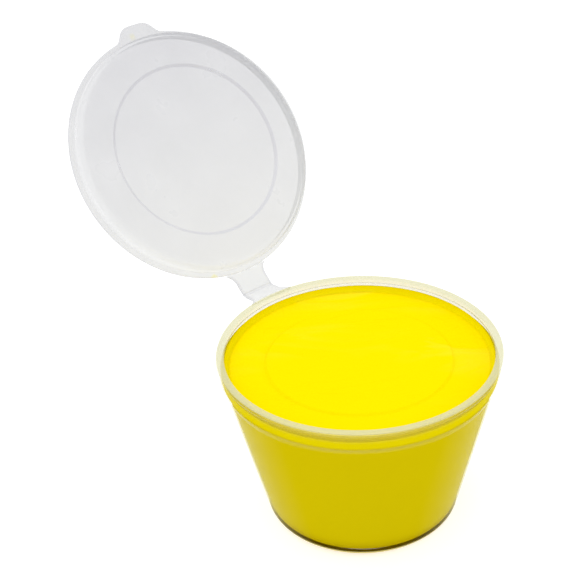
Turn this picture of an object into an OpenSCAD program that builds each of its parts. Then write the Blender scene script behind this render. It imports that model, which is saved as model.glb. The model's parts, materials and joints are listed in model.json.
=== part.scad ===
// Small paint cup moulded in one piece with a flap lid on a living hinge, filled with thick paint.
// Origin: centre of the foot on the resting plane. +Z is up and the hinge lies towards +Y.
// The lid is drawn closed, then swung open about the fold line. Lengths are in millimetres.

/* [Cup] */
// Height of the cup to the top of its rim
cup_h = 40.6; // [32:0.1:60]
// Outer radius of the rim bead
rim_r = 31.0; // [30.5:0.1:45]
// Height of the rim bead
rim_h = 1.2; // [0.8:0.1:1.8]
// How far the rim bead stands out from the collar
rim_out = 0.6; // [0.3:0.1:1.2]
// How far the rim bead stands in from the inside of the collar
rim_in = 0.3; // [0.1:0.1:0.6]
// Height from the top of the shoulder to the top of the rim
collar_h = 5.3; // [4.6:0.1:9]
// How far the shoulder steps in from the collar to the tapered body
shoulder_in = 0.9; // [0.4:0.1:1.6]
// Height of the sloping shoulder
shoulder_h = 0.9; // [0.5:0.1:2]
// Radius where the tapered wall would meet the resting plane
base_r = 21.1; // [19:0.1:28]
// Outer rounding between the foot and the wall
base_round = 3.4; // [2.2:0.1:5]
// Thickness of the cup's wall
wall = 0.9; // [0.6:0.05:1.3]
// Thickness of the cup's floor
floor_t = 0.9; // [0.6:0.05:1.5]
// Depth of the recess under the floor, inside the foot
recess = 0.4; // [0.2:0.05:0.8]
// Width of the flat foot that the cup stands on
foot_w = 1.6; // [1:0.1:4]
// Radius of the moulding gate under the floor
gate_r = 1.0; // [0.6:0.1:2]

/* [Lid] */
// How far the edge of the lid stops short of the edge of the rim
lid_in = 0.7; // [0.2:0.1:1.5]
// Thickness of the lid's flange
flange_t = 0.9; // [0.6:0.05:1.2]
// Thickness of the lid's panel and of its plug wall
panel_t = 0.8; // [0.6:0.05:1]
// Depth of the plug below the top of the rim, with the lid closed
plug_depth = 3.0; // [2.4:0.1:4]
// Rounding where the plug wall turns into the panel
plug_round = 1.3; // [1.1:0.1:2]
// Radius of the disc in the middle of the panel
disc_r = 20.5; // [12:0.1:24]
// How far that disc is stepped towards the outside
disc_step = 0.5; // [0.2:0.05:0.8]
// How far the lid stands open from closed, in degrees
open_angle = 128; // [0:1:180]

/* [Tab] */
// Width of the finger tab
tab_w = 9.4; // [7:0.1:14]
// How far the tab reaches beyond the lid's edge
tab_out = 2.8; // [2.4:0.1:4]
// Rounding of the tab's outer corners
tab_round = 2.3; // [1:0.1:2.3]
// Rounding in the corners where the tab meets the lid
tab_fillet = 1.4; // [0.8:0.1:3]

/* [Hinge] */
// Distance from the edge of the rim out to the fold line
fold_out = 4.7; // [4.4:0.1:8]
// How far the fold line lies below the top of the rim
fold_drop = 1.0; // [0.8:0.05:1.3]
// Width of the straps at the fold line
strap_w = 8.3; // [6:0.1:12]
// Thickness of the straps
strap_t = 0.7; // [0.5:0.05:0.9]
// Rounding where each strap flares into the rim or the lid
strap_flare = 3.3; // [2:0.1:3.8]
// Radius of the bead of plastic left along the fold line
web_r = 0.2; // [0.15:0.01:0.25]

/* [Paint] */
// Depth of the paint below the top of the rim, where it meets the wall
fill_drop = 2.4; // [1.6:0.1:2.8]

/* [Clearances] */
// Gap between the plug and the inside of the rim bead
plug_gap = 0.15; // [0.12:0.01:0.3]
// Gap between the closed lid and the top of the rim
lid_gap = 0.05; // [0.03:0.01:0.15]
// Gap between the closed lid's plug and the paint that it shaped
paint_gap = 0.15; // [0.12:0.01:0.3]
// Gap between pieces that are one moulding or that lie against each other
seam = 0.02; // [0.01:0.01:0.04]
// Gap between the bead on the fold line and the ends of the straps
web_gap = 0.05; // [0.03:0.01:0.1]

/* [Hidden] */
$fn = 96;
eps = 0.5;

plastic = [0.89, 0.91, 0.9];
film = [0.8, 0.84, 0.84];
yellow = [0.98, 0.88, 0.02];

collar_r = rim_r - rim_out;
shoulder_z = cup_h - collar_h;
body_top_z = shoulder_z - shoulder_h;
body_top_r = collar_r - shoulder_in;
taper = atan((body_top_r - base_r) / body_top_z);
side_wall = wall / cos(taper);
floor_z = recess + floor_t;
foot_r = base_r - base_round * tan(corner_half(taper));
bore_r = collar_r - wall;
mouth_r = bore_r - rim_in;
rim_edge = 0.3;

lid_r = rim_r - lid_in;
plug_r = mouth_r - plug_gap;
flange_z = cup_h + lid_gap;
lid_top = flange_z + flange_t;
fold_y = rim_r + fold_out;
fold_z = cup_h - fold_drop;
strap_end = web_r + web_gap;

// Half of the angle that a rounding turns through between the floor and a wall with this taper
function corner_half(angle) = (90 - angle) / 2;

// Radius of the tapered side at a height, drawn in by an amount
function side_r(z, inset) = base_r + z * tan(taper) - inset;

// Shape of a rounded bar, as a section
module rounded_bar(size, radius) {
    translate([radius, 0])
        square([size[0] - 2 * radius, size[1]]);
    translate([0, radius])
        square([size[0], size[1] - 2 * radius]);
    for (x = [radius, size[0] - radius], y = [radius, size[1] - radius])
        translate([x, y])
            circle(radius);
}

// Half section of the tapered body from a floor height, with its corner rounded
module body_half(z_floor, inset, radius) {
    corner_r = side_r(z_floor, inset);
    run = radius * tan(corner_half(taper));
    centre_r = corner_r - run;
    touch = [corner_r + run * sin(taper), z_floor + run * cos(taper)];
    polygon([
        [0, z_floor],
        [centre_r, z_floor],
        touch,
        [side_r(body_top_z, inset), body_top_z],
        [0, body_top_z]
    ]);
    translate([centre_r, z_floor + radius])
        circle(radius);
}

// Half section of the shoulder and the straight collar, up to a height
module collar_half(low_r, high_r, z_top) {
    polygon([
        [0, body_top_z],
        [low_r, body_top_z],
        [high_r, shoulder_z],
        [high_r, z_top],
        [0, z_top]
    ]);
}

// Half section of the space inside the cup, drawn in by an amount
module hollow_half(inset, z_top) {
    body_half(floor_z + inset, side_wall + inset, base_round - wall);
    collar_half(side_r(body_top_z, side_wall + inset), bore_r - inset, z_top);
}

// Half section of the lid's plug as a solid block, grown by an amount
module plug_half(grow) {
    turn = [plug_r - plug_round, cup_h - plug_depth + plug_round];
    low_z = cup_h - plug_depth - grow;
    difference() {
        union() {
            translate([0, low_z])
                square([turn[0], lid_top + eps - low_z]);
            translate([0, turn[1]])
                square([plug_r + grow, lid_top + eps - turn[1]]);
            translate(turn)
                circle(plug_round + grow);
        }
        translate([0, low_z - eps])
            square([disc_r - grow, disc_step + eps]);
    }
}

// Moves what is drawn on the closed lid to where the open lid stands
module on_open_lid() {
    translate([0, fold_y, fold_z])
        rotate([-open_angle, 0, 0])
            translate([0, -fold_y, -fold_z])
                children();
}

// Plan of a bar that runs out from a round edge, with a round flare in each corner at its root
module flared_bar(edge_r, width, reach, radius) {
    half_w = width / 2;
    flare = [half_w + radius, sqrt(pow(edge_r + radius, 2) - pow(half_w + radius, 2))];
    difference() {
        union() {
            translate([-half_w, 0])
                square([width, reach]);
            difference() {
                polygon([[0, 0], flare, [-flare[0], flare[1]]]);
                for (side = [-1, 1])
                    translate([side * flare[0], flare[1]])
                        circle(radius);
            }
        }
        circle(edge_r + seam);
    }
}

// Strap from a round edge to just short of the fold line, with the height of its middle at both ends
module strap(edge_r, edge_z, end_z) {
    tilt = atan((edge_z - end_z) / (fold_y - edge_r));
    intersection() {
        translate([0, 0, body_top_z])
            linear_extrude(2 * collar_h)
                flared_bar(edge_r, strap_w, fold_y - strap_end, strap_flare);
        translate([0, fold_y, end_z])
            rotate([-tilt, 0, 0])
                translate([-edge_r, -edge_r, -strap_t / 2])
                    cube([2 * edge_r, 2 * edge_r, strap_t]);
    }
}

// Plan of the finger tab, with its outer corners rounded
module tab_plan() {
    reach = lid_r + tab_out;
    intersection() {
        flared_bar(lid_r, tab_w, reach, tab_fillet);
        union() {
            translate([-reach, 0])
                square([2 * reach, reach - tab_round]);
            translate([tab_round - tab_w / 2, 0])
                square([tab_w - 2 * tab_round, reach]);
            for (side = [-1, 1])
                translate([side * (tab_w / 2 - tab_round), reach - tab_round])
                    circle(tab_round);
        }
    }
}

module cup() {
    color(plastic) {
        rotate_extrude()
            difference() {
                union() {
                    body_half(0, 0, base_round);
                    collar_half(body_top_r, collar_r, cup_h - rim_h / 2);
                }
                hollow_half(0, cup_h);
                translate([0, -eps])
                    square([foot_r - foot_w, recess + eps]);
            }
        rotate_extrude()
            translate([mouth_r, cup_h - rim_h])
                rounded_bar([rim_r - mouth_r, rim_h], rim_edge);
        translate([0, 0, recess / 2])
            cylinder(r = gate_r, h = recess);
    }
}

module cup_hinge_strap() {
    color(plastic)
        strap(rim_r, cup_h - rim_h / 2, fold_z - lid_gap - strap_t / 2);
}

module hinge_web() {
    color(film)
        translate([-strap_w / 2, fold_y, fold_z])
            rotate([0, 90, 0])
                cylinder(r = web_r, h = strap_w);
}

module lid_hinge_strap() {
    color(plastic)
        on_open_lid()
            strap(lid_r, flange_z + flange_t / 2, fold_z + lid_gap + strap_t / 2);
}

module lid() {
    color(plastic)
        on_open_lid()
            rotate_extrude() {
                difference() {
                    intersection() {
                        plug_half(0);
                        square([rim_r, lid_top]);
                    }
                    plug_half(-panel_t);
                }
                translate([plug_r - panel_t, flange_z])
                    rounded_bar([lid_r - plug_r + panel_t, flange_t], rim_edge);
            }
}

module lid_tab() {
    color(plastic)
        on_open_lid()
            translate([0, 0, flange_z])
                linear_extrude(flange_t)
                    mirror([0, 1])
                        tab_plan();
}

module paint() {
    color(yellow)
        rotate_extrude()
            difference() {
                hollow_half(seam, cup_h - fill_drop);
                plug_half(paint_gap);
            }
}

cup();
cup_hinge_strap();
hinge_web();
lid_hinge_strap();
lid();
lid_tab();
paint();
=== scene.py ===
"""Looks of a small cup of yellow paint whose round lid stands open on a living hinge.

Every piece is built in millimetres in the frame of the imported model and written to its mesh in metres. The
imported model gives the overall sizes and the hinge. The dataclass fields give the details that it leaves open.
"""

import json
import logging
import math
from dataclasses import dataclass, field
from enum import Enum
from typing import Callable

import bmesh
import bpy
from mathutils import Matrix, Vector, noise


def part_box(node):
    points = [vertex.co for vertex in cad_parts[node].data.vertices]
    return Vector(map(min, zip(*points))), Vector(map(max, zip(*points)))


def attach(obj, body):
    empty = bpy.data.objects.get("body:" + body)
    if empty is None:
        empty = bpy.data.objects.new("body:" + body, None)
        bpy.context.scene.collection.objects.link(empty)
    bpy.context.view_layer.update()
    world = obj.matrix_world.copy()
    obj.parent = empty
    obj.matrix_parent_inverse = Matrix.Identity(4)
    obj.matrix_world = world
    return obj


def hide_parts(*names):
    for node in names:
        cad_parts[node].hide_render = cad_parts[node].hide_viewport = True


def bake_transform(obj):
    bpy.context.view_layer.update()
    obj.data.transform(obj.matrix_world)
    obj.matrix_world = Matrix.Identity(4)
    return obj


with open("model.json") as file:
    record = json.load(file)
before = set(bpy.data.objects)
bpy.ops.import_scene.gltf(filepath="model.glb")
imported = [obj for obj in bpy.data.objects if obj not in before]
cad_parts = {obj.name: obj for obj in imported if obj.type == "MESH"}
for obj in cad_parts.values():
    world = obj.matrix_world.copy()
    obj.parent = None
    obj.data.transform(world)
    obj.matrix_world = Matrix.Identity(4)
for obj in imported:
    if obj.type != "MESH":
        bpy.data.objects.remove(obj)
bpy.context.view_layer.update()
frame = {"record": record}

MM = 0.001
SEGMENTS = 224
ON_AXIS = 1e-6
NOISE_SPAN = (0.3, 0.7)
LOG = logging.getLogger("paint_cup")
Colour = tuple[float, float, float]
Stops = tuple[tuple[float, Colour], ...]
Socket = bpy.types.NodeSocket
Source = Socket | float | Colour


class Attribute(Enum):
    """Names of the values that a mesh carries for its finish."""

    HAZE = "haze"
    # share of painted shade: a darker colour put where less light falls
    PAINTED_SHADE = "painted_shade"
    # colour from the paint behind the plastic and from dried smudges, with painted shade at the cup's foot
    STAIN_AND_SHADE = "stain_and_shade"


class Body(Enum):
    """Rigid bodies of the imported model."""

    CUP = "cup"
    LID = "lid"


@dataclass(frozen=True)
class Corner:
    """One corner of a half section, in millimetres.

    Args:
        r: Distance from the axis.
        z: Height.
        round: Radius of the arc that rounds the corner.
    """

    r: float
    z: float
    round: float = 0.0


@dataclass(frozen=True)
class Spot:
    """One point of a turned piece, before anything moves it.

    Args:
        r: Distance from the axis, in millimetres.
        z: Height, in millimetres.
        angle: Angle round the axis from +X, in radians.
    """

    r: float
    z: float
    angle: float

    def place(self, out: float = 0.0) -> Vector:
        """Place of the point, in millimetres, once it is pushed out from the axis by a distance."""
        r = self.r + out
        return Vector((r * math.cos(self.angle), r * math.sin(self.angle), self.z))


def smoothstep(low: float, high: float, value: float) -> float:
    """Smooth step from 0 where the value is low to 1 where it is high."""
    t = min(1.0, max(0.0, (value - low) / (high - low)))
    return t * t * (3.0 - 2.0 * t)


def box_mm(node: str) -> tuple[Vector, Vector]:
    """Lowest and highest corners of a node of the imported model, in millimetres."""
    low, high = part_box(node)
    return Vector(low) / MM, Vector(high) / MM


@dataclass(frozen=True)
class Layout:
    """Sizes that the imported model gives, in millimetres and radians."""

    rim_r: float
    height: float
    fold_y: float
    fold_z: float
    lid_r: float
    strap_w: float
    paint_top: float
    opened: float

    @classmethod
    def from_frame(cls) -> "Layout":
        """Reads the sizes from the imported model.

        Returns:
            The sizes.
        """
        joint = frame["record"]["behaviour"]["joints"][0]
        pivot = Vector(joint["pos_m"]) / MM
        cup_high = box_mm("cup")[1]
        web_low, web_high = box_mm("hinge_web")
        return cls(
            rim_r=cup_high.x,
            height=cup_high.z,
            fold_y=pivot.y,
            fold_z=pivot.z,
            lid_r=box_mm("lid")[1].x,
            strap_w=web_high.x - web_low.x,
            paint_top=box_mm("paint")[1].z,
            opened=math.radians(max(joint["range_deg"])),
        )

    def open_lid(self) -> Matrix:
        """Movement that takes the closed lid to where it stands open.

        Returns:
            The movement, in millimetres.
        """
        pivot = Vector((0.0, self.fold_y, self.fold_z))
        swing = Matrix.Rotation(-self.opened, 4, "X")
        return Matrix.Translation(pivot) @ swing @ Matrix.Translation(-pivot)


class Section:
    """Half section of a turned piece: a line of points, with every corner rounded and long runs divided."""

    ARC_STEP = math.radians(9.0)
    RUN_STEP = 1.2
    EDGE_STEP = 0.12

    def __init__(self, corners: list[Corner], run_step: float = RUN_STEP) -> None:
        """Takes the corners, from the axis and back to it, and the longest step along a straight run."""
        self.corners = corners
        self.run_step = run_step

    def points(self) -> list[tuple[float, float]]:
        """Points along the section.

        Returns:
            Radius and height of each point.
        """
        last = len(self.corners) - 1
        arcs = []
        for index, corner in enumerate(self.corners):
            if corner.round > 0 and 0 < index < last:
                arcs.append(self._arc(self.corners[index - 1], corner, self.corners[index + 1]))
            else:
                arcs.append([Vector((corner.r, corner.z))])
        points: list[Vector] = []
        for arc, after in zip(arcs, arcs[1:]):
            points.extend(arc)
            points.extend(self._run(arc[-1], after[0]))
        points.extend(arcs[-1])
        return [(max(0.0, p.x), p.y) for p in points]

    def _arc(self, before: Corner, corner: Corner, after: Corner) -> list[Vector]:
        """Points of the arc that rounds a corner, tangent to both of its sides.

        Args:
            before: Corner before it.
            corner: Corner to round.
            after: Corner after it.

        Returns:
            The points, or the corner alone where the line hardly turns.
        """
        tip = Vector((corner.r, corner.z))
        back = (Vector((before.r, before.z)) - tip).normalized()
        ahead = (Vector((after.r, after.z)) - tip).normalized()
        angle = math.acos(max(-1.0, min(1.0, back.dot(ahead))))
        turn = math.pi - angle
        if turn < math.radians(0.5):
            return [tip]
        reach = corner.round * math.tan(turn / 2)
        start = tip + back * reach
        centre = tip + (back + ahead).normalized() * (corner.round / math.sin(angle / 2))
        spoke = start - centre
        sign = 1.0 if back.x * ahead.y - back.y * ahead.x < 0 else -1.0
        steps = max(3, math.ceil(turn / self.ARC_STEP))
        arc = []
        for step in range(steps + 1):
            swing = sign * turn * step / steps
            cos_s, sin_s = math.cos(swing), math.sin(swing)
            turned = (spoke.x * cos_s - spoke.y * sin_s, spoke.x * sin_s + spoke.y * cos_s)
            arc.append(centre + Vector(turned))
        return arc

    def _run(self, start: Vector, end: Vector) -> list[Vector]:
        """Points between two ends of a straight run, the first of them close to its start.

        Args:
            start: Where the run starts.
            end: Where it ends.

        Returns:
            The points, or none for a short run.
        """
        length = (end - start).length
        if length < 3 * self.EDGE_STEP:
            return []
        places = [self.EDGE_STEP]
        steps = max(1, math.ceil((length - 2 * self.EDGE_STEP) / self.run_step))
        stride = (length - 2 * self.EDGE_STEP) / steps
        places.extend(self.EDGE_STEP + stride * step for step in range(1, steps + 1))
        return [start.lerp(end, place / length) for place in places]


def even_angles() -> list[float]:
    """Angles of evenly spread steps round the axis, in radians."""
    return [2 * math.pi * step / SEGMENTS for step in range(SEGMENTS)]


def band(low: list[int], high: list[int]) -> list[tuple[int, ...]]:
    """Faces between two rings of points, either of which may be a single point.

    Args:
        low: Points of the first ring.
        high: Points of the second ring.

    Returns:
        Corners of the faces.
    """
    count = max(len(low), len(high))
    faces: list[tuple[int, ...]] = []
    for step in range(count):
        after = (step + 1) % count
        if len(low) == 1:
            faces.append((low[0], high[after], high[step]))
        elif len(high) == 1:
            faces.append((low[step], low[after], high[0]))
        else:
            faces.append((low[step], low[after], high[after], high[step]))
    return faces


def write_mesh(
    name: str,
    verts: list[Vector],
    faces: list[tuple[int, ...]],
    values: dict[Attribute, list[float]],
) -> bpy.types.Object:
    """Makes a smooth object with its attributes.

    Args:
        name: Name of the piece.
        verts: Places of the points, in metres.
        faces: Corners of the faces.
        values: Value of each attribute at each point.

    Returns:
        The new object, in the scene.
    """
    mesh = bpy.data.meshes.new(name)
    mesh.from_pydata([tuple(v) for v in verts], [], faces)
    for key, numbers in values.items():
        layer = mesh.attributes.new(key.value, "FLOAT", "POINT")
        layer.data.foreach_set("value", numbers)
    work = bmesh.new()
    work.from_mesh(mesh)
    bmesh.ops.recalc_face_normals(work, faces=work.faces)
    work.to_mesh(mesh)
    work.free()
    mesh.shade_smooth()
    mesh.update()
    piece = bpy.data.objects.new(name, mesh)
    bpy.context.scene.collection.objects.link(piece)
    return piece


@dataclass
class Turned:
    """A mesh turned round the Z axis from a section, which may be pushed about before it is written.

    Args:
        section: Radius and height of each point, in millimetres.
        angles: Angles of the steps round the axis.
    """

    section: list[tuple[float, float]]
    angles: list[float] = field(default_factory=even_angles)

    def build(
        self,
        name: str,
        move: Callable[[Spot], Vector],
        values: dict[Attribute, Callable[[Spot], float]],
    ) -> bpy.types.Object:
        """Writes the mesh.

        Args:
            name: Name of the piece.
            move: Place of a point, in millimetres.
            values: What each attribute holds at a point.

        Returns:
            The new object.
        """
        rings: list[list[int]] = []
        spots: list[Spot] = []
        for r, z in self.section:
            first = len(spots)
            spots.extend(Spot(r, z, angle) for angle in ([0.0] if r < ON_AXIS else self.angles))
            rings.append(list(range(first, len(spots))))
        faces: list[tuple[int, ...]] = []
        for low, high in zip(rings, rings[1:]):
            faces.extend(band(low, high))
        verts = [move(spot) * MM for spot in spots]
        layers = {key: [measure(spot) for spot in spots] for key, measure in values.items()}
        return write_mesh(name, verts, faces, layers)


class NodeGraph:
    """Small helper that adds and links the nodes of one material."""

    def __init__(self, name: str) -> None:
        """Starts an empty material.

        Args:
            name: Name of the material.
        """
        self.material = bpy.data.materials.new(name)
        self.material.use_nodes = True
        self.tree = self.material.node_tree
        self.tree.nodes.clear()

    def add(
        self,
        kind: str,
        inputs: dict[str | int, Source],
        output: str | int,
        **settings: object,
    ) -> Socket:
        """Adds a node.

        Args:
            kind: Type of the node.
            inputs: What each input takes: the output of another node, a number, a colour or a direction.
            output: The output that is wanted.
            **settings: Properties of the node, by name.

        Returns:
            That output.
        """
        node = self.tree.nodes.new(kind)
        for key, value in settings.items():
            setattr(node, key, value)
        for key, source in inputs.items():
            target = node.inputs[key]
            if isinstance(source, Socket):
                self.tree.links.new(source, target)
            else:
                target.default_value = (*source, 1.0) if target.type == "RGBA" else source
        return node.outputs[output]

    def coordinates(self) -> Socket:
        """Object coordinates, in metres."""
        return self.add("ShaderNodeTexCoord", {}, "Object")

    def value(self, name: Attribute) -> Socket:
        """Value of a mesh attribute."""
        return self.add("ShaderNodeAttribute", {}, "Fac", attribute_name=name.value)

    def along_grain(self, stretch: tuple[float, float], turn: float) -> Socket:
        """Object coordinates, turned and squeezed so that a pattern runs one way.

        Args:
            stretch: Factors along and across the grain.
            turn: Angle of the grain from +X, in degrees.

        Returns:
            The coordinates.
        """
        inputs = {
            "Vector": self.coordinates(),
            "Rotation": (0.0, 0.0, math.radians(turn)),
            "Scale": (1.0 / stretch[0], 1.0 / stretch[1], 1.0),
        }
        return self.add("ShaderNodeMapping", inputs, "Vector", vector_type="TEXTURE")

    def noise(
        self,
        scale: float,
        detail: float = 3.0,
        distortion: float = 0.0,
        place: Socket | None = None,
    ) -> Socket:
        """Noise over the piece.

        Args:
            scale: Waves in a metre.
            detail: Number of finer layers.
            distortion: How far the pattern is pulled about.
            place: Coordinates, if not those of the object.

        Returns:
            The noise, about 0.5.
        """
        place = place or self.coordinates()
        inputs = {"Vector": place, "Scale": scale, "Detail": detail, "Distortion": distortion}
        return self.add("ShaderNodeTexNoise", inputs, "Fac")

    def spread(self, source: Socket, low: float, high: float, to_low: float, to_high: float) -> Socket:
        """Maps the span from low to high to the one from to_low to to_high, held at its ends."""
        inputs = {"Value": source, "From Min": low, "From Max": high, "To Min": to_low, "To Max": to_high}
        return self.add("ShaderNodeMapRange", inputs, "Result", clamp=True)

    def calc(self, operation: str, first: Socket, second: Socket | float) -> Socket:
        """Works out one sum, by Blender's name for it."""
        return self.add("ShaderNodeMath", {0: first, 1: second}, 0, operation=operation)

    def tint(self, share: Socket, low: Socket | Colour, high: Socket | Colour) -> Socket:
        """Blends a low colour into a high one by the share of the high one."""
        inputs = {"Factor": share, "A": low, "B": high}
        return self.add("ShaderNodeMix", inputs, "Result", data_type="RGBA", clamp_factor=True)

    def ramp(self, source: Socket, stops: Stops) -> Socket:
        """Colours a value by a row of stops.

        Args:
            source: Value to colour, from 0 to 1.
            stops: Value and colour of each stop, in order.

        Returns:
            The colour.
        """
        output = self.add("ShaderNodeValToRGB", {"Fac": source}, "Color")
        elements = output.node.color_ramp.elements
        while len(elements) < len(stops):
            elements.new(1.0)
        for element, (place, colour) in zip(elements, stops):
            element.position = place
            element.color = (*colour, 1.0)
        return output

    def bump(self, height: Socket, distance: float) -> Socket:
        """Makes a normal from a height, where a height of 1 measures a distance in metres."""
        return self.add("ShaderNodeBump", {"Height": height, "Distance": distance, "Strength": 1.0}, "Normal")

    def surface(self, inputs: dict[str | int, Source]) -> bpy.types.Material:
        """Finishes the material with a principled surface.

        Args:
            inputs: What each input of the surface takes.

        Returns:
            The material.
        """
        shader = self.add("ShaderNodeBsdfPrincipled", inputs, 0)
        self.tree.links.new(shader, self.tree.nodes.new("ShaderNodeOutputMaterial").inputs["Surface"])
        return self.material


@dataclass(frozen=True)
class MilkyPlastic:
    """Natural polypropylene, which lets light through but blurs it to a milky haze.

    Its haze attribute is the share of light that one face of the wall stops. Its painted shade attribute blends
    in the shade colour as painted shade, and its stain attribute colours it.

    Args:
        name: Name of the material.
        milk: Colour of the bare plastic.
        shade: Colour of the painted shade.
        tinge: Colour where half of the light comes from the paint.
        stain_and_shade: Colour where all of it does; at the cup's foot it is darkened as painted shade.
        gloss: Strength of the reflection on bare and on tinged plastic.
        sheen: Most light that a face stops because it is seen aslant.
        edge_on: Light that a face stops when it is seen right along its surface.
        sheen_from: Slant at which the sheen starts, from 0 to 1.
        sheen_power: Power that holds the sheen back until a face is seen well aslant.
        far_side: Power that thins the haze of a face seen from behind.
        roughness: Roughness of the surface.
        ior: Index of refraction.
        cloud_scale: Waves of the uneven haze in a metre.
        cloud: How uneven that haze is, to either side of 1.
        ripple_scale: Waves of the surface's ripple in a metre.
        ripple: Height of that ripple, in metres.
    """

    name: str
    milk: Colour
    shade: Colour
    tinge: Colour
    stain_and_shade: Colour
    gloss: tuple[float, float] = (0.4, 0.08)
    sheen: float = 0.72
    edge_on: float = 0.95
    sheen_from: float = 0.5
    sheen_power: float = 1.7
    far_side: float = 2.0
    roughness: float = 0.3
    ior: float = 1.45
    cloud_scale: float = 90.0
    cloud: float = 0.03
    ripple_scale: float = 260.0
    ripple: float = 0.000006

    def material(self) -> bpy.types.Material:
        """Builds the material.

        Returns:
            The material.
        """
        graph = NodeGraph(self.name)
        cloud = graph.noise(self.cloud_scale, 4.0)
        stain_and_shade = graph.value(Attribute.STAIN_AND_SHADE)
        bare, tinged = self.gloss
        stops = ((0.0, self.milk), (0.5, self.tinge), (1.0, self.stain_and_shade))
        return graph.surface(
            {
                # the stained plastic blended towards the shade colour as painted shade
                "Base Color": graph.tint(graph.value(Attribute.PAINTED_SHADE), graph.ramp(stain_and_shade, stops), self.shade),
                "Roughness": graph.spread(cloud, *NOISE_SPAN, self.roughness - 0.05, self.roughness + 0.08),
                "IOR": self.ior,
                "Specular IOR Level": bare if bare == tinged else graph.spread(stain_and_shade, 0.0, 0.5, bare, tinged),
                "Alpha": self.cover(graph, cloud),
                "Normal": graph.bump(graph.noise(self.ripple_scale, 2.0), self.ripple),
            }
        )

    def cover(self, graph: NodeGraph, cloud: Socket) -> Socket:
        """Share of light that the plastic stops: its haze, or its sheen where a face is seen edge on.

        Args:
            graph: Graph to build in.
            cloud: Noise that makes the haze uneven.

        Returns:
            The share.
        """
        uneven = graph.spread(cloud, *NOISE_SPAN, 1.0 - self.cloud, 1.0 + self.cloud)
        haze = graph.calc("MULTIPLY", graph.value(Attribute.HAZE), uneven)
        facing = graph.add("ShaderNodeLayerWeight", {"Blend": 0.5}, "Facing")
        grazing = graph.spread(facing, self.sheen_from, 1.0, 0.0, 1.0)
        soft = graph.calc("MULTIPLY", graph.calc("POWER", grazing, self.sheen_power), self.sheen)
        sheen = graph.calc("MAXIMUM", soft, graph.spread(grazing, 0.5, 1.0, 0.0, self.edge_on))
        inside = graph.add("ShaderNodeNewGeometry", {}, "Backfacing")
        outside = graph.spread(inside, 0.0, 1.0, 1.0, 0.0)
        haze = graph.calc("POWER", haze, graph.spread(inside, 0.0, 1.0, 1.0, self.far_side))
        return graph.calc("MAXIMUM", haze, graph.calc("MULTIPLY", sheen, outside))


@dataclass(frozen=True)
class ThickPaint:
    """Thick yellow paint with paler streaks stirred into it.

    Its painted shade attribute rises from 0 on the open surface, over the rim and down the wall, to 1 at the
    foot.

    Args:
        name: Name of the material.
        open_colour: Colour of the open surface.
        streak: Colour of the paler streaks in it.
        grain: How much the streaks are squeezed along and across their run.
        grain_turn: Angle of their run from +X, in degrees.
        painted_shade_stops: Darker colours put in as painted shade, each at its share of it.
        roughness: Roughness of the surface.
        ior: Index of refraction.
        swirl_scale: Waves of the swirls in a metre.
        swirl_height: Height of the swirls, in metres.
        patch_scale: Waves in a metre of the patches that hold streaks.
        fine_scale: Waves in a metre of the fine roughness on the swirls.
        fine_share: Height of that roughness as a share of the swirls' own.
    """

    name: str
    open_colour: Colour = (0.95, 0.757, 0.0004)
    streak: Colour = (0.96, 0.765, 0.014)
    grain: tuple[float, float] = (0.45, 1.25)
    grain_turn: float = -36.0
    # painted shade: the rim, collar, wall and foot darkened where less light reaches them
    painted_shade_stops: Stops = (
        (0.25, (0.72, 0.63, 0.0003)),
        (0.5, (0.69, 0.57, 0.0003)),
        (0.75, (0.56, 0.45, 0.0003)),
        (1.0, (0.38, 0.28, 0.0002)),
    )
    roughness: float = 0.42
    ior: float = 1.4
    swirl_scale: float = 70.0
    swirl_height: float = 0.0009
    patch_scale: float = 34.0
    fine_scale: float = 300.0
    fine_share: float = 0.2

    def material(self) -> bpy.types.Material:
        """Builds the material.

        Returns:
            The material.
        """
        graph = NodeGraph(self.name)
        grain = graph.along_grain(self.grain, self.grain_turn)
        swirl = graph.noise(self.swirl_scale, 5.0, 1.6, grain)
        patch = graph.spread(graph.noise(self.patch_scale, 1.0, 0.5, grain), 0.42, 0.6, 0.0, 1.0)
        streaks = graph.calc("MULTIPLY", graph.spread(swirl, 0.46, 0.66, 0.0, 1.0), patch)
        surface = graph.tint(streaks, self.open_colour, self.streak)
        # painted shade: darker on the rim, down the wall and at the foot
        painted_shade = graph.value(Attribute.PAINTED_SHADE)
        first = self.painted_shade_stops[0][0]
        below = graph.spread(painted_shade, 0.0, first, 0.0, 1.0)
        fine = graph.calc("MULTIPLY", graph.noise(self.fine_scale), self.fine_share)
        height = graph.calc("ADD", swirl, fine)
        stirred = graph.calc("MULTIPLY", height, graph.spread(painted_shade, 0.0, first, 1.0, 0.0))
        return graph.surface(
            {
                "Base Color": graph.tint(below, surface, graph.ramp(painted_shade, self.painted_shade_stops)),
                "Roughness": graph.spread(swirl, *NOISE_SPAN, self.roughness - 0.08, self.roughness + 0.1),
                "IOR": self.ior,
                "Specular IOR Level": 0.0,
                "Normal": graph.bump(stirred, self.swirl_height),
            }
        )


@dataclass(frozen=True)
class PaleFloor:
    """Plain pale floor, lit a little from within like a light table.

    Args:
        name: Name of the material.
        colour: Colour of the surface.
        glow: Light that it gives off.
    """

    name: str = "pale_floor"
    colour: Colour = (0.6, 0.6, 0.6)
    glow: float = 0.62

    def material(self) -> bpy.types.Material:
        """Builds the material.

        Returns:
            The material.
        """
        graph = NodeGraph(self.name)
        colour = graph.tint(graph.noise(3.0, 2.0), tuple(0.985 * c for c in self.colour), self.colour)
        return graph.surface(
            {
                "Base Color": colour,
                "Emission Color": colour,
                "Emission Strength": self.glow / self.colour[0],
                "Roughness": 0.9,
                "Specular IOR Level": 0.0,
            }
        )


@dataclass(frozen=True)
class Plug:
    """Sizes of the lid's plug, which the print in the paint shares, in millimetres."""

    r: float = 29.05
    depth: float = 3.0
    round: float = 1.3
    disc_r: float = 20.5
    disc_step: float = 0.5


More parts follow.
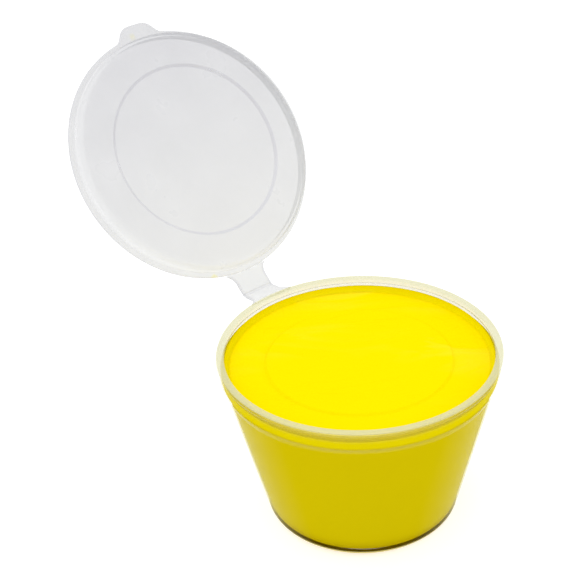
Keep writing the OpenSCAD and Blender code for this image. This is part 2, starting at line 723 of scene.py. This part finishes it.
@dataclass
class CupShell:
    """Moulded cup: foot, tapered wall, shoulder, collar and rim bead.

    Sizes are in millimetres. Hazes are shares of light, clear values are shares of haze taken away, painted
    shades are shares of the shade colour, and stains are shares of the paint's colour, with painted shade at
    the foot.
    """

    layout: Layout
    finish: MilkyPlastic
    rim_h: float = 1.2
    rim_out: float = 0.6
    rim_in: float = 0.3
    collar_h: float = 4.3
    shoulder_in: float = 0.9
    shoulder_h: float = 1.9
    base_r: float = 21.1
    base_round: float = 3.4
    wall: float = 0.9
    wet_wall: float = 0.3
    floor_t: float = 0.9
    recess: float = 0.4
    foot_w: float = 1.6
    gate_r: float = 1.0
    gate_z: float = 0.12
    shoulder_round: float = 1.3
    foot_top: float = 1.7
    rim_haze: float = 0.82
    wet_haze: float = 0.003
    dry_inside: float = 0.7
    dry_outside: float = 0.12
    foot_haze: float = 1.1
    # milky band under the shoulder: painted sheen for the light line along it
    shoulder_painted_sheen: float = 0.16
    side_clear: float = 0.85
    inner_clear: float = 0.3
    ledge_clear: float = 0.35
    # painted shade along the bead's outer edge, for its darker outline
    edge_painted_shade: float = 0.08
    wall_stain: float = 0.5
    # stain and painted shade of the darker band just above the foot
    ring_stain_and_shade: float = 0.72

    @property
    def collar_r(self) -> float:
        """Outer radius of the straight collar."""
        return self.layout.rim_r - self.rim_out

    @property
    def bore_r(self) -> float:
        """Inner radius of the collar."""
        return self.collar_r - self.wall

    @property
    def mouth_r(self) -> float:
        """Inner radius of the rim bead."""
        return self.bore_r - self.rim_in

    @property
    def wet_z(self) -> float:
        """Height at which the wall turns thin, just under the paint's edge."""
        return self.layout.paint_top - 0.2

    @property
    def shoulder_z(self) -> float:
        """Height of the top of the shoulder."""
        return self.layout.height - self.collar_h

    @property
    def body_top(self) -> Corner:
        """Outer corner where the tapered wall meets the shoulder."""
        return Corner(self.collar_r - self.shoulder_in, self.shoulder_z - self.shoulder_h)

    @property
    def taper(self) -> float:
        """Slope of the wall from upright, in radians."""
        return math.atan((self.body_top.r - self.base_r) / self.body_top.z)

    def side_r(self, z: float, inset: float = 0.0) -> float:
        """Radius of the tapered side at a height, drawn in square to the wall by an inset."""
        return self.base_r + z * math.tan(self.taper) - inset / math.cos(self.taper)

    def section(self) -> list[Corner]:
        """Corners of the section, from the gate under the floor out and up, over the rim and down inside.

        Returns:
            The corners.
        """
        top = self.layout.height
        bead_z = top - self.rim_h
        foot_r = self.base_r - self.base_round * math.tan(math.pi / 4 - self.taper / 2)
        floor_z = self.recess + self.floor_t
        body = self.body_top
        return [
            Corner(0.0, self.gate_z),
            Corner(self.gate_r - 0.2, self.gate_z, 0.1),
            Corner(self.gate_r, self.recess, 0.15),
            Corner(foot_r - self.foot_w - 0.25, self.recess, 0.2),
            Corner(foot_r - self.foot_w, 0.0, 0.15),
            Corner(self.base_r, 0.0, self.base_round),
            Corner(body.r, body.z, self.shoulder_round),
            Corner(self.collar_r, self.shoulder_z, self.shoulder_round),
            Corner(self.collar_r, bead_z - 0.5, 0.8),
            Corner(self.layout.rim_r, bead_z + 0.5, 0.5),
            Corner(self.layout.rim_r, top, 0.45),
            Corner(self.mouth_r, top, 0.4),
            Corner(self.mouth_r, bead_z, 0.4),
            Corner(self.bore_r, bead_z, 0.2),
            Corner(self.bore_r, self.wet_z, 0.05),
            *self.wet_corners(0.0),
            Corner(0.0, floor_z),
        ]

    def wet_corners(self, gap: float) -> list[Corner]:
        """Corners of the wall where the paint wets it, from the paint's edge down to the floor.

        The plastic bends light so that the paint seems to reach almost to the outside, so it is drawn thin.

        Args:
            gap: Distance from the plastic.

        Returns:
            The corners.
        """
        inset = self.wet_wall + gap
        body = self.body_top
        floor_z = self.recess + self.floor_t + gap
        return [
            Corner(self.collar_r - inset, self.wet_z - gap, 0.05),
            Corner(self.collar_r - inset, self.shoulder_z, self.shoulder_round),
            Corner(self.side_r(body.z, inset), body.z, self.shoulder_round),
            Corner(self.side_r(floor_z, inset), floor_z, self.base_round - self.wet_wall),
        ]

    def haze(self, at: Spot) -> float:
        """Share of light that the plastic stops, least where the paint wets the wall.

        Args:
            at: Point of the section.

        Returns:
            The share.
        """
        drop = self.layout.height - at.z
        inside = at.r < self.bore_r + 0.1
        below = smoothstep(0.0, 0.4, drop)
        side = smoothstep(self.collar_r - 0.1, self.collar_r + 0.4, at.r) * below
        inner = self.inner_clear * below if at.r < self.bore_r else 0.0
        bead = smoothstep(-0.3, 0.1, self.rim_h - drop) * (1.0 - self.side_clear * side - inner)
        dry_haze = self.dry_inside if inside else self.dry_outside
        dry = dry_haze * smoothstep(-0.2, 0.5, at.z - self.layout.paint_top)
        ledge = 1.0 - smoothstep(0.15, 0.4, abs(self.rim_h - drop)) if inside else 0.0
        rim = self.rim_haze * max(bead, dry) * (1.0 - self.ledge_clear * ledge)
        foot = self.foot_haze * (1.0 - smoothstep(self.foot_top, self.foot_top + 0.4, at.z))
        # painted sheen: a milky band just under the top of the shoulder
        shoulder = self.shoulder_painted_sheen * (1.0 - smoothstep(0.2, 0.9, abs(at.z - self.shoulder_z + 0.6)))
        return max(self.wet_haze, rim, foot, shoulder)

    def painted_shade(self, at: Spot) -> float:
        """Painted shade along the outer edge of the bead."""
        return self.edge_painted_shade * smoothstep(self.layout.rim_r - 0.35, self.layout.rim_r, at.r)

    def stain_and_shade(self, at: Spot) -> float:
        """Colour from the paint: none on the rim, half down the wall, all at the foot, darkened there as
        painted shade.

        Args:
            at: Point of the section.

        Returns:
            The share of colour.
        """
        below = smoothstep(0.1, 0.5, self.layout.height - at.z)
        side = self.wall_stain * smoothstep(self.collar_r - 0.1, self.collar_r + 0.3, at.r) * below
        dry = smoothstep(self.layout.paint_top, self.layout.height - 0.2, at.z)
        wet = self.wall_stain - (self.wall_stain - side) * dry
        # the foot and the band above it take the dark stain colour: the paint's colour with painted shade
        ring = smoothstep(self.foot_top - 0.1, self.foot_top + 0.3, at.z)
        above = self.ring_stain_and_shade - (self.ring_stain_and_shade - self.wall_stain) * ring
        foot = 1.0 - smoothstep(self.foot_top - 0.6, self.foot_top - 0.3, at.z)
        return max(wet, above if ring < 1.0 else 0.0, foot)

    def build(self) -> bpy.types.Object:
        """Builds the shell.

        Returns:
            The new piece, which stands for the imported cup.
        """
        values = {Attribute.HAZE: self.haze, Attribute.PAINTED_SHADE: self.painted_shade, Attribute.STAIN_AND_SHADE: self.stain_and_shade}
        piece = Turned(Section(self.section()).points()).build("cup_shell", Spot.place, values)
        piece.data.materials.append(self.finish.material())
        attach(piece, Body.CUP.value)
        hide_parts("cup")
        return piece


@dataclass
class PaintFill:
    """Paint that fills the cup, with the closed lid printed in its surface. Sizes in millimetres."""

    layout: Layout
    cup: CupShell
    finish: ThickPaint
    plug: Plug = Plug()
    gap: float = 0.15
    seam: float = 0.02
    ridge: float = 0.06
    run_step: float = 0.45
    # shares of painted shade on the steep rim, the collar and the wall
    rim_painted_shade: float = 0.14
    collar_painted_shade: float = 0.5
    wall_painted_shade: float = 0.75

    def section(self) -> list[Corner]:
        """Corners of the fill from the middle of its top, out to the wall and down to the floor.

        Returns:
            The corners.
        """
        face = self.face
        crest = face + self.plug.disc_step
        edge = self.plug.disc_r - self.gap
        print_r = self.plug.r + self.gap
        cup = self.cup
        return [
            Corner(0.0, crest),
            Corner(edge - 0.25, crest, 0.6),
            Corner(edge + 0.35, face, 0.6),
            Corner(print_r, face, self.plug.round + self.gap),
            Corner(print_r, self.layout.paint_top, 0.08),
            Corner(cup.bore_r - self.seam, self.layout.paint_top, 0.08),
            Corner(cup.bore_r - self.seam, cup.wet_z - self.seam),
            *cup.wet_corners(self.seam),
            Corner(0.0, cup.recess + cup.floor_t + self.seam),
        ]

    @property
    def face(self) -> float:
        """Height of the flat ring that the plug printed."""
        return self.layout.height - self.plug.depth - self.gap

    def place(self, at: Spot) -> Vector:
        """Place of a point, with low ridges left by stirring on the open surface.

        Args:
            at: Point of the section.

        Returns:
            The place, in millimetres.
        """
        point = at.place()
        calm_r = self.plug.r - self.plug.round
        if at.z > self.face - 0.01 and at.r < calm_r:
            swirl = noise.noise(Vector((point.x * 0.11, point.y * 0.16, 0.7)))
            fine = noise.noise(Vector((point.x * 0.35, point.y * 0.5, 3.1)))
            fade = 1.0 - smoothstep(calm_r - 3.0, calm_r, at.r)
            point.z -= self.ridge * fade * (1.0 + swirl + 0.4 * fine) / 1.4
        return point

    def painted_shade(self, at: Spot) -> float:
        """Painted shade on the steep rim, lighter against the collar, deeper down the wall and deepest at the
        foot.

        Args:
            at: Point of the section.

        Returns:
            The painted shade, from 0 to 1.
        """
        low = at.z < self.layout.paint_top - 0.05
        if low and (at.z < self.face - 0.3 or at.r > self.plug.r + self.gap + 0.05):
            collar = smoothstep(self.cup.shoulder_z - 0.5, self.cup.shoulder_z + 0.3, at.z)
            foot = 1.0 - smoothstep(1.4, 1.8 * self.cup.base_round, at.z)
            lighter = (self.wall_painted_shade - self.collar_painted_shade) * collar
            return self.wall_painted_shade - lighter + (1.0 - self.wall_painted_shade) * foot
        return self.rim_painted_shade * smoothstep(self.plug.r - self.plug.round + 0.2, self.plug.r - 0.3, at.r)

    def build(self) -> bpy.types.Object:
        """Builds the fill.

        Returns:
            The new piece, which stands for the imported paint.
        """
        section = Section(self.section(), self.run_step)
        piece = Turned(section.points()).build("paint_fill", self.place, {Attribute.PAINTED_SHADE: self.painted_shade})
        piece.data.materials.append(self.finish.material())
        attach(piece, Body.CUP.value)
        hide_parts("paint")
        return piece


@dataclass
class Lid:
    """Round lid with a flange, a plug, a stepped panel and a finger tab, drawn closed.

    Sizes are in millimetres. Hazes are shares of light and painted shades are shares of the darker colour. Each
    smudge has its place, its radius and its strength.
    """

    layout: Layout
    finish: MilkyPlastic
    plug: Plug = Plug()
    flange_t: float = 0.9
    panel_t: float = 0.8
    gap: float = 0.05
    tab_w: float = 9.9
    tab_out: float = 2.8
    tab_round: float = 3.5
    tab_fillet: float = 1.5
    tab_span: float = 28.0
    tab_steps: int = 110
    steps: int = 340
    panel_haze: float = 0.57
    wall_haze: float = 0.5
    # painted shade: away from the hinge, over the panel, along the edge and on the step's wall
    far_painted_shade: float = 0.45
    panel_painted_shade: float = 0.13
    edge_painted_shade: float = 0.25
    step_painted_shade: float = 0.4
    outline: dict[float, float] = field(default_factory=dict)
    smudges: tuple[tuple[float, float, float, float], ...] = ((-8.6, 28.9, 0.9, 0.9), (-1.6, -30.2, 0.9, 0.7))

    def section(self) -> list[Corner]:
        """Corners of the section, from the middle of the inner face round to the middle of the outer one.

        Returns:
            The corners.
        """
        plug = self.plug
        low = self.layout.height + self.gap
        high = low + self.flange_t
        face = self.layout.height - plug.depth
        disc = face + plug.disc_step
        edge = self.layout.lid_r
        inner = plug.r - self.panel_t
        outer_disc_r = plug.disc_r + self.panel_t
        flat = [plug.r + 0.4 + 0.15 * step for step in range(3)]
        return [
            Corner(0.0, disc),
            Corner(plug.disc_r - 0.25, disc, 0.4),
            Corner(plug.disc_r + 0.25, face, 0.4),
            Corner(plug.r, face, plug.round),
            Corner(plug.r, low, 0.15),
            *[Corner(r, low) for r in flat],
            Corner(edge, low, 0.35),
            Corner(edge, high, 0.4),
            *[Corner(r, high) for r in reversed(flat)],
            Corner(inner, high, 0.5),
            Corner(inner, face + self.panel_t, plug.round - self.panel_t + 0.3),
            Corner(outer_disc_r + 0.25, face + self.panel_t, 0.4),
            Corner(outer_disc_r - 0.25, disc + self.panel_t, 0.4),
            Corner(0.0, disc + self.panel_t),
        ]

    def edge_distance(self, x: float, y: float) -> float:
        """Distance outside the outline of the lid and its tab, with a round fillet between them.

        Args:
            x: Distance from the plane of symmetry.
            y: Distance from the lid's axis, towards the hinge.

        Returns:
            The distance, below 0 inside.
        """
        plate = math.hypot(x, y) - self.layout.lid_r
        reach = self.layout.lid_r + self.tab_out
        across = abs(x) - (self.tab_w / 2 - self.tab_round)
        along = abs(y + reach / 2) - (reach / 2 - self.tab_round)
        bar = math.hypot(max(across, 0.0), max(along, 0.0)) + min(max(across, along), 0.0) - self.tab_round
        near_plate = max(self.tab_fillet - plate, 0.0)
        near_bar = max(self.tab_fillet - bar, 0.0)
        return max(self.tab_fillet, min(plate, bar)) - math.hypot(near_plate, near_bar)

    def edge_r(self, angle: float) -> float:
        """Radius of the outline of the lid and its tab.

        Args:
            angle: Angle round the axis.

        Returns:
            The radius.
        """
        low, high = self.layout.lid_r - 0.5, self.layout.lid_r + self.tab_out + 1.0
        for _ in range(24):
            middle = (low + high) / 2
            if self.edge_distance(middle * math.cos(angle), middle * math.sin(angle)) > 0:
                high = middle
            else:
                low = middle
        return low

    def angles(self) -> list[float]:
        """Angles of the steps round the lid, close together where the tab leaves it.

        Returns:
            The angles, in order.
        """
        tab = -math.pi / 2
        span = math.radians(self.tab_span / 2)
        fine = [tab - span + 2 * span * step / self.tab_steps for step in range(self.tab_steps + 1)]
        rest = 2 * math.pi - 2 * span
        coarse = [tab + span + rest * step / self.steps for step in range(1, self.steps)]
        return fine + coarse

    def place(self, at: Spot) -> Vector:
        """Place of a point on the closed lid, with the tab drawn out.

        Args:
            at: Point of the plain round lid.

        Returns:
            The place, in millimetres.
        """
        edge = self.layout.lid_r
        out = self.outline.get(at.angle, edge) - edge
        return at.place(out * smoothstep(self.plug.r + 0.1, edge - 0.4, at.r))

    def haze(self, at: Spot) -> float:
        """Share of light that the plastic stops, least on the plug's wall, where it is seen through twice.

        Args:
            at: Point of the plain round lid.

        Returns:
            The share.
        """
        if at.r <= self.plug.r - 1.5:
            return self.panel_haze
        top = self.layout.height
        low = top - self.plug.depth
        wall = smoothstep(low + 0.5, low + 1.4, at.z) * (1.0 - smoothstep(top - 0.5, top, at.z))
        return self.panel_haze + (self.wall_haze - self.panel_haze) * wall

    def painted_shade(self, at: Spot) -> float:
        """Painted shade away from the hinge, over the panel, along the flange's edge and on the wall of the
        step.

        Args:
            at: Point of the plain round lid.

        Returns:
            The share of the darker colour.
        """
        across, along = math.cos(at.angle), math.sin(at.angle)
        edge = smoothstep(self.layout.lid_r - 0.2, self.layout.lid_r, at.r)
        if abs(across) < 0.4 and along > 0:
            strap_half = self.layout.strap_w / 2
            edge *= smoothstep(strap_half, strap_half + 2.5, abs(at.r * across))
        step = 1.0 - smoothstep(0.15, 0.5, abs(at.r - self.plug.disc_r))
        panel = 1.0 - smoothstep(self.plug.r - 1.8, self.plug.r - 0.6, at.r)
        far = 0.5 - 0.5 * at.r * along / self.layout.lid_r
        dark = self.far_painted_shade * far + self.panel_painted_shade * panel + self.edge_painted_shade * edge + self.step_painted_shade * step
        return min(1.0, dark)

    def stain_and_shade(self, at: Spot) -> float:
        """Smudges of dried paint.

        Args:
            at: Point of the plain round lid.

        Returns:
            The share of colour.
        """
        point = self.place(at)
        most = 0.0
        for x, y, radius, amount in self.smudges:
            reach = math.hypot(point.x - x, point.y - y) / radius
            most = max(most, amount * (1.0 - smoothstep(0.4, 1.0, reach)))
        return most

    def build(self) -> bpy.types.Object:
        """Builds the lid and its tab in one piece, which lets light through to the paint when it is closed.

        Returns:
            The new piece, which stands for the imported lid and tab.
        """
        angles = self.angles()
        self.outline = {angle: self.edge_r(angle) for angle in angles}
        swing = self.layout.open_lid()
        values = {Attribute.HAZE: self.haze, Attribute.PAINTED_SHADE: self.painted_shade, Attribute.STAIN_AND_SHADE: self.stain_and_shade}
        turned = Turned(Section(self.section()).points(), angles)
        piece = turned.build("lid_shell", lambda at: swing @ self.place(at), values)
        piece.visible_shadow = False
        piece.visible_diffuse = False
        piece.data.materials.append(self.finish.material())
        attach(piece, Body.LID.value)
        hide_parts("lid", "lid_tab")
        return piece


@dataclass
class HingeStrap:
    """Strap from the rim to the lid, thinned to a film where it folds.

    Sizes are in millimetres, the haze is a share of light and the painted shades are shares of the darker
    colour.
    """

    layout: Layout
    finish: MilkyPlastic
    thickness: float = 0.7
    film: float = 0.28
    film_half: float = 0.45
    gap: float = 0.05
    rim_h: float = 1.2
    flange_t: float = 0.9
    flare: float = 3.3
    root: float = 0.35
    near_fold: float = 1.0
    coarse: int = 22
    fine: int = 24
    steps_across: int = 26
    dip: float = 0.06
    side_w: float = 0.9
    side_round: float = 0.24
    haze: float = 0.56
    # painted shade along the strap's sides and in the crease of the film
    side_painted_shade: float = 0.5
    film_painted_shade: float = 0.2

    def half_width(self, along: float, edge_r: float) -> float:
        """Half the width of the strap.

        Args:
            along: Distance from the axis of the round edge that it grows out of.
            edge_r: Radius of that edge.

        Returns:
            Half the width.
        """
        half = self.layout.strap_w / 2
        centre = math.sqrt((edge_r + self.flare) ** 2 - (half + self.flare) ** 2)
        drop = centre - along
        if drop <= 0:
            return half
        return half + self.flare - math.sqrt(max(0.0, self.flare**2 - drop**2))

    def stations(self) -> list[float]:
        """Distances along the flat strap from the fold line, close together beside it.

        Returns:
            The distances, below 0 on the cup's side.
        """
        cup_end = self.layout.rim_r - self.root - self.layout.fold_y
        lid_end = self.layout.fold_y - self.layout.lid_r + self.root
        near = self.near_fold
        before = [cup_end + (-near - cup_end) * step / self.coarse for step in range(self.coarse)]
        beside = [-near + 2.0 * near * step / self.fine for step in range(self.fine + 1)]
        after = [near + (lid_end - near) * step / self.coarse for step in range(1, self.coarse + 1)]
        return before + beside + after

    def middle(self, along: float) -> float:
        """Height of the middle of the flat strap above the fold line.

        Args:
            along: Distance from the fold line, below 0 on the cup's side.

        Returns:
            The height.
        """
        at_fold = -self.gap - self.thickness / 2
        if along < 0:
            at_edge = self.layout.height - self.rim_h / 2 - self.layout.fold_z
            return at_fold + (at_edge - at_fold) * -along / (self.layout.fold_y - self.layout.rim_r)
        at_edge = self.layout.fold_z - self.layout.height - self.gap - self.flange_t / 2
        return at_fold + (at_edge - at_fold) * along / (self.layout.fold_y - self.layout.lid_r)

    def bend(self, along: float, height: float) -> tuple[float, float]:
        """Place in the plane of symmetry of a point of the flat strap once the lid stands open.

        Args:
            along: Distance from the fold line.
            height: Height above the fold line.

        Returns:
            Distance from the fold line towards +Y and height above it.
        """
        rise = math.pi - self.layout.opened
        share = smoothstep(-self.film_half, self.film_half, along)
        angle = rise * share
        if abs(along) < self.film_half:
            middle = along * math.cos(angle / 2), along * math.sin(angle / 2) * (1 if along > 0 else 0)
        elif along > 0:
            middle = along * math.cos(rise), along * math.sin(rise)
        else:
            middle = along, 0.0
        return middle[0] - height * math.sin(angle), middle[1] + height * math.cos(angle)

    def rings(self) -> tuple[list[Vector], list[list[int]], dict[Attribute, list[float]]]:
        """Points of the strap where the lid stands open, in rings across it.

        Returns:
            Places of the points in metres, the points of each ring, and each attribute's value at each point.
        """
        verts: list[Vector] = []
        rings: list[list[int]] = []
        painted_shade: list[float] = []
        haze: list[float] = []
        for along in self.stations():
            edge_r = self.layout.rim_r if along < 0 else self.layout.lid_r
            half = self.half_width(self.layout.fold_y - abs(along), edge_r)
            thin = 1.0 - smoothstep(self.film_half * 0.4, self.film_half * 1.6, abs(along))
            middle = self.middle(along)
            top = middle + self.thickness / 2 - self.dip * thin
            low = middle - self.thickness / 2 + (self.thickness - self.film) * thin
            ring = []
            for x, z, edge in self.outline(half, low, top):
                y, up = self.bend(along, z)
                ring.append(len(verts))
                verts.append(Vector((x, self.layout.fold_y + y, self.layout.fold_z + up)) * MM)
                # painted shade along the sides and on the film
                painted_shade.append(min(1.0, self.side_painted_shade * edge + self.film_painted_shade * thin))
                beyond = math.hypot(x, self.layout.fold_y - abs(along)) - edge_r
                haze.append(self.haze * smoothstep(-0.12, 0.08, beyond))
            rings.append(ring)
        return verts, rings, {Attribute.HAZE: haze, Attribute.PAINTED_SHADE: painted_shade, Attribute.STAIN_AND_SHADE: [0.0] * len(verts)}

    def build(self) -> bpy.types.Object:
        """Builds the strap.

        Returns:
            The new piece, bent between the cup and the lid where the lid stands open.
        """
        verts, rings, values = self.rings()
        faces: list[tuple[int, ...]] = []
        for low, high in zip(rings, rings[1:]):
            faces.extend(band(low, high))
        faces.append(tuple(reversed(rings[0])))
        faces.append(tuple(rings[-1]))
        piece = write_mesh("hinge_strap", verts, faces, values)
        piece.data.materials.append(self.finish.material())
        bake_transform(piece)
        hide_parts("cup_hinge_strap", "hinge_web", "lid_hinge_strap")
        return piece

    def outline(self, half: float, low: float, top: float) -> list[tuple[float, float, float]]:
        """Points round one cross-section of the strap, with its edges rounded.

        Args:
            half: Half of its width.
            low: Height of its lower face.
            top: Height of its upper face.

        Returns:
            Distance across, height and nearness to the side, for each point.
        """
        radius = min(self.side_round, (top - low) * 0.45)
        flat = half - radius
        middle = (top + low) / 2
        depth = (top - low) / 2
        points: list[tuple[float, float, float]] = []
        for sign, face in ((1.0, top), (-1.0, low)):
            for step in range(self.steps_across + 1):
                x = -flat + 2 * flat * step / self.steps_across
                points.append((x * sign, face, smoothstep(half - self.side_w, half, abs(x))))
            for angle in (math.radians(degrees) for degrees in (60, 30, 0, -30, -60)):
                x = flat + radius * math.cos(angle)
                points.append((x * sign, middle + sign * depth * math.sin(angle), 1.0))
        return points


@dataclass(frozen=True)
class Softbox:
    """Square light that looks at the cup's mouth.

    Args:
        name: Name of the light.
        place: Where it stands, in millimetres.
        size: Length of its side, in millimetres.
        power: Its power, in watts.
    """

    name: str
    place: tuple[float, float, float]
    size: float
    power: float

    def build(self, target: Vector) -> None:
        """Adds the light.

        Args:
            target: Point that it looks at, in millimetres.
        """
        data = bpy.data.lights.new(self.name, "AREA")
        data.size = self.size * MM
        data.energy = self.power
        light = bpy.data.objects.new(self.name, data)
        light.location = Vector(self.place) * MM
        light.rotation_euler = (target - Vector(self.place)).to_track_quat("-Z", "Y").to_euler()
        bpy.context.scene.collection.objects.link(light)


@dataclass
class Studio:
    """Floor, lights and camera. Distances in millimetres and angles in degrees."""

    layout: Layout
    floor: PaleFloor
    azimuth: float = -36.9
    elevation: float = 30.94
    roll: float = -3.15
    distance: float = 331.5
    pan: float = 17.2
    rise: float = -47.75
    lens: float = 90.04
    sensor: float = 36.0
    floor_half: float = 3000.0
    daylight: float = 0.9
    softboxes: tuple[Softbox, ...] = (
        Softbox("top_softbox", (-60.0, 80.0, 620.0), 520.0, 1.0),
        Softbox("left_softbox", (-520.0, -160.0, 330.0), 260.0, 0.25),
        Softbox("right_softbox", (420.0, -420.0, 260.0), 150.0, 0.35),
    )

    def build_floor(self) -> bpy.types.Object:
        """Builds the floor.

        Returns:
            The floor, which isn't part of the object.
        """
        half = self.floor_half
        signs = ((-1, -1), (1, -1), (1, 1), (-1, 1))
        corners = [Vector((x * half, y * half, 0.0)) * MM for x, y in signs]
        floor = write_mesh("studio_floor", corners, [(0, 1, 2, 3)], {})
        floor.data.materials.append(self.floor.material())
        return floor

    def build_camera(self) -> bpy.types.Object:
        """Builds the camera.

        Returns:
            The camera, which the scene uses.
        """
        turn = Matrix.Rotation(math.radians(self.azimuth), 3, "Z")
        tilt = math.radians(self.elevation)
        ahead = turn @ Vector((0.0, math.cos(tilt), -math.sin(tilt)))
        up = turn @ Vector((0.0, math.sin(tilt), math.cos(tilt)))
        right = turn @ Vector((1.0, 0.0, 0.0))
        lean = math.radians(self.roll)
        across = math.cos(lean) * right + math.sin(lean) * up
        upright = -math.sin(lean) * right + math.cos(lean) * up
        place = (-self.distance * ahead - self.pan * across - self.rise * upright) * MM
        data = bpy.data.cameras.new("camera")
        data.lens = self.lens
        data.sensor_width = self.sensor
        data.clip_start = 0.01
        data.clip_end = 20.0
        camera = bpy.data.objects.new("camera", data)
        axes = Matrix((across, upright, -ahead)).transposed()
        camera.matrix_world = Matrix.Translation(place) @ axes.to_4x4()
        bpy.context.scene.collection.objects.link(camera)
        bpy.context.scene.camera = camera
        return camera

    def build_lights(self) -> None:
        """Adds the white surroundings and the softboxes."""
        world = bpy.data.worlds.new("white_surroundings")
        world.use_nodes = True
        shade = world.node_tree.nodes["Background"]
        shade.inputs["Color"].default_value = (1.0, 1.0, 1.0, 1.0)
        shade.inputs["Strength"].default_value = self.daylight
        bpy.context.scene.world = world
        for softbox in self.softboxes:
            softbox.build(Vector((0.0, 0.0, self.layout.height)))

    def build(self) -> None:
        """Builds the floor, the lights and the camera, and sets how tones are shown."""
        self.build_floor()
        self.build_lights()
        self.build_camera()
        bpy.context.scene.view_settings.view_transform = "Standard"
        bpy.context.scene.cycles.use_denoising = True


def main() -> None:
    """Builds every piece in order and reports it."""
    logging.basicConfig(level=logging.INFO, format="%(name)s: %(message)s")
    layout = Layout.from_frame()
    Studio(layout, PaleFloor()).build()
    cup_plastic = MilkyPlastic(
        "cup_plastic",
        milk=(0.65, 0.63, 0.36),
        # colour of the painted shade
        shade=(0.42, 0.41, 0.28),
        tinge=(0.64, 0.59, 0.22),
        # the paint's colour seen through the foot, darkened as painted shade
        stain_and_shade=(0.58, 0.41, 0.003),
    )
    lid_plastic = MilkyPlastic(
        "lid_plastic",
        milk=(0.545, 0.55, 0.545),
        # colour of the painted shade
        shade=(0.19, 0.19, 0.25),
        tinge=(0.6, 0.58, 0.3),
        stain_and_shade=(0.62, 0.55, 0.08),
        gloss=(0.4, 0.4),
        sheen=0.35,
        edge_on=0.6,
        far_side=3.0,
    )
    cup = CupShell(layout, cup_plastic)
    fill = PaintFill(layout, cup, ThickPaint("yellow_paint"))
    for part in (cup, fill, Lid(layout, lid_plastic), HingeStrap(layout, lid_plastic)):
        piece = part.build()
        LOG.info("%s: %d faces", piece.name, len(piece.data.polygons))


if __name__ == "__main__":
    main()
